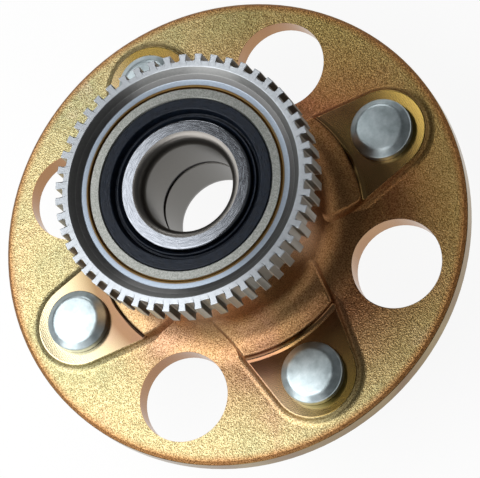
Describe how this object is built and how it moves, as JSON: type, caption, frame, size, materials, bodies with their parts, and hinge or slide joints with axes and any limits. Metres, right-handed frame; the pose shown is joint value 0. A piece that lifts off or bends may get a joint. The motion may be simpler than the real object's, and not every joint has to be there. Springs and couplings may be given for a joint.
{
  "type": "wheel hub bearing",
  "caption": "Flanged wheel hub with a double-row ball bearing inside its barrel, pressed-in wheel studs, seals and a toothed speed-sensor ring on its inboard end.",
  "frame": {"origin": "on the hub axis, in the outboard mounting face of the flange where the brake disc and wheel seat", "axes": "+Z along the hub axis towards the vehicle (barrel and tone ring end), +X through the first wheel stud"},
  "size_m": [0.153, 0.153, 0.0933],
  "materials": {
    "zinc_yellow": "yellow-passivated zinc plating over a grainy forging, machined faces smoother",
    "tone_steel": "bright pressed and turned steel, bluish zinc",
    "stud_steel": "clear zinc plated steel, satin",
    "ground_steel": "ground bearing steel",
    "ball_steel": "polished bearing steel",
    "cage_plastic": "natural moulded nylon",
    "seal_rubber": "black nitrile rubber, slightly glossy",
    "seal_steel": "pressed steel",
    "spring_steel": "dark spring steel"
  },
  "bodies": {
    "inner_race": {"inner_ring_inboard": "ground_steel", "inner_ring_outboard": "ground_steel", "inner_ring_clip": "spring_steel"},
    "hub": {"hub_flange": "zinc_yellow", "tone_ring": "tone_steel", "wheel_stud_1": "stud_steel", "wheel_stud_2": "stud_steel", "wheel_stud_3": "stud_steel", "wheel_stud_4": "stud_steel", "seal_casing_inboard": "seal_steel", "seal_casing_outboard": "seal_steel", "seal_rubber_inboard": "seal_rubber", "seal_rubber_outboard": "seal_rubber"},
    "ball_set_inboard": {"cage_inboard": "cage_plastic", "ball_inboard_1": "ball_steel", "ball_inboard_2": "ball_steel", "ball_inboard_3": "ball_steel", "ball_inboard_4": "ball_steel", "ball_inboard_5": "ball_steel", "ball_inboard_6": "ball_steel", "ball_inboard_7": "ball_steel", "ball_inboard_8": "ball_steel", "ball_inboard_9": "ball_steel", "ball_inboard_10": "ball_steel", "ball_inboard_11": "ball_steel"},
    "ball_set_outboard": {"cage_outboard": "cage_plastic", "ball_outboard_1": "ball_steel", "ball_outboard_2": "ball_steel", "ball_outboard_3": "ball_steel", "ball_outboard_4": "ball_steel", "ball_outboard_5": "ball_steel", "ball_outboard_6": "ball_steel", "ball_outboard_7": "ball_steel", "ball_outboard_8": "ball_steel", "ball_outboard_9": "ball_steel", "ball_outboard_10": "ball_steel", "ball_outboard_11": "ball_steel"}
  },
  "joints": [
    {"name": "hub_spin", "type": "hinge", "parent": "inner_race", "child": "hub", "pos_m": [0, 0, 0.03325], "axis": [0, 0, 1], "continuous": true},
    {"name": "ball_set_inboard_spin", "type": "hinge", "parent": "inner_race", "child": "ball_set_inboard", "pos_m": [0, 0, 0.04125], "axis": [0, 0, 1], "continuous": true},
    {"name": "ball_set_outboard_spin", "type": "hinge", "parent": "inner_race", "child": "ball_set_outboard", "pos_m": [0, 0, 0.02525], "axis": [0, 0, 1], "continuous": true}
  ],
  "couplings": [
    {"joint": "ball_set_inboard_spin", "follows": "hub_spin", "ratio": 0.5923},
    {"joint": "ball_set_outboard_spin", "follows": "hub_spin", "ratio": 0.5923}
  ]
}
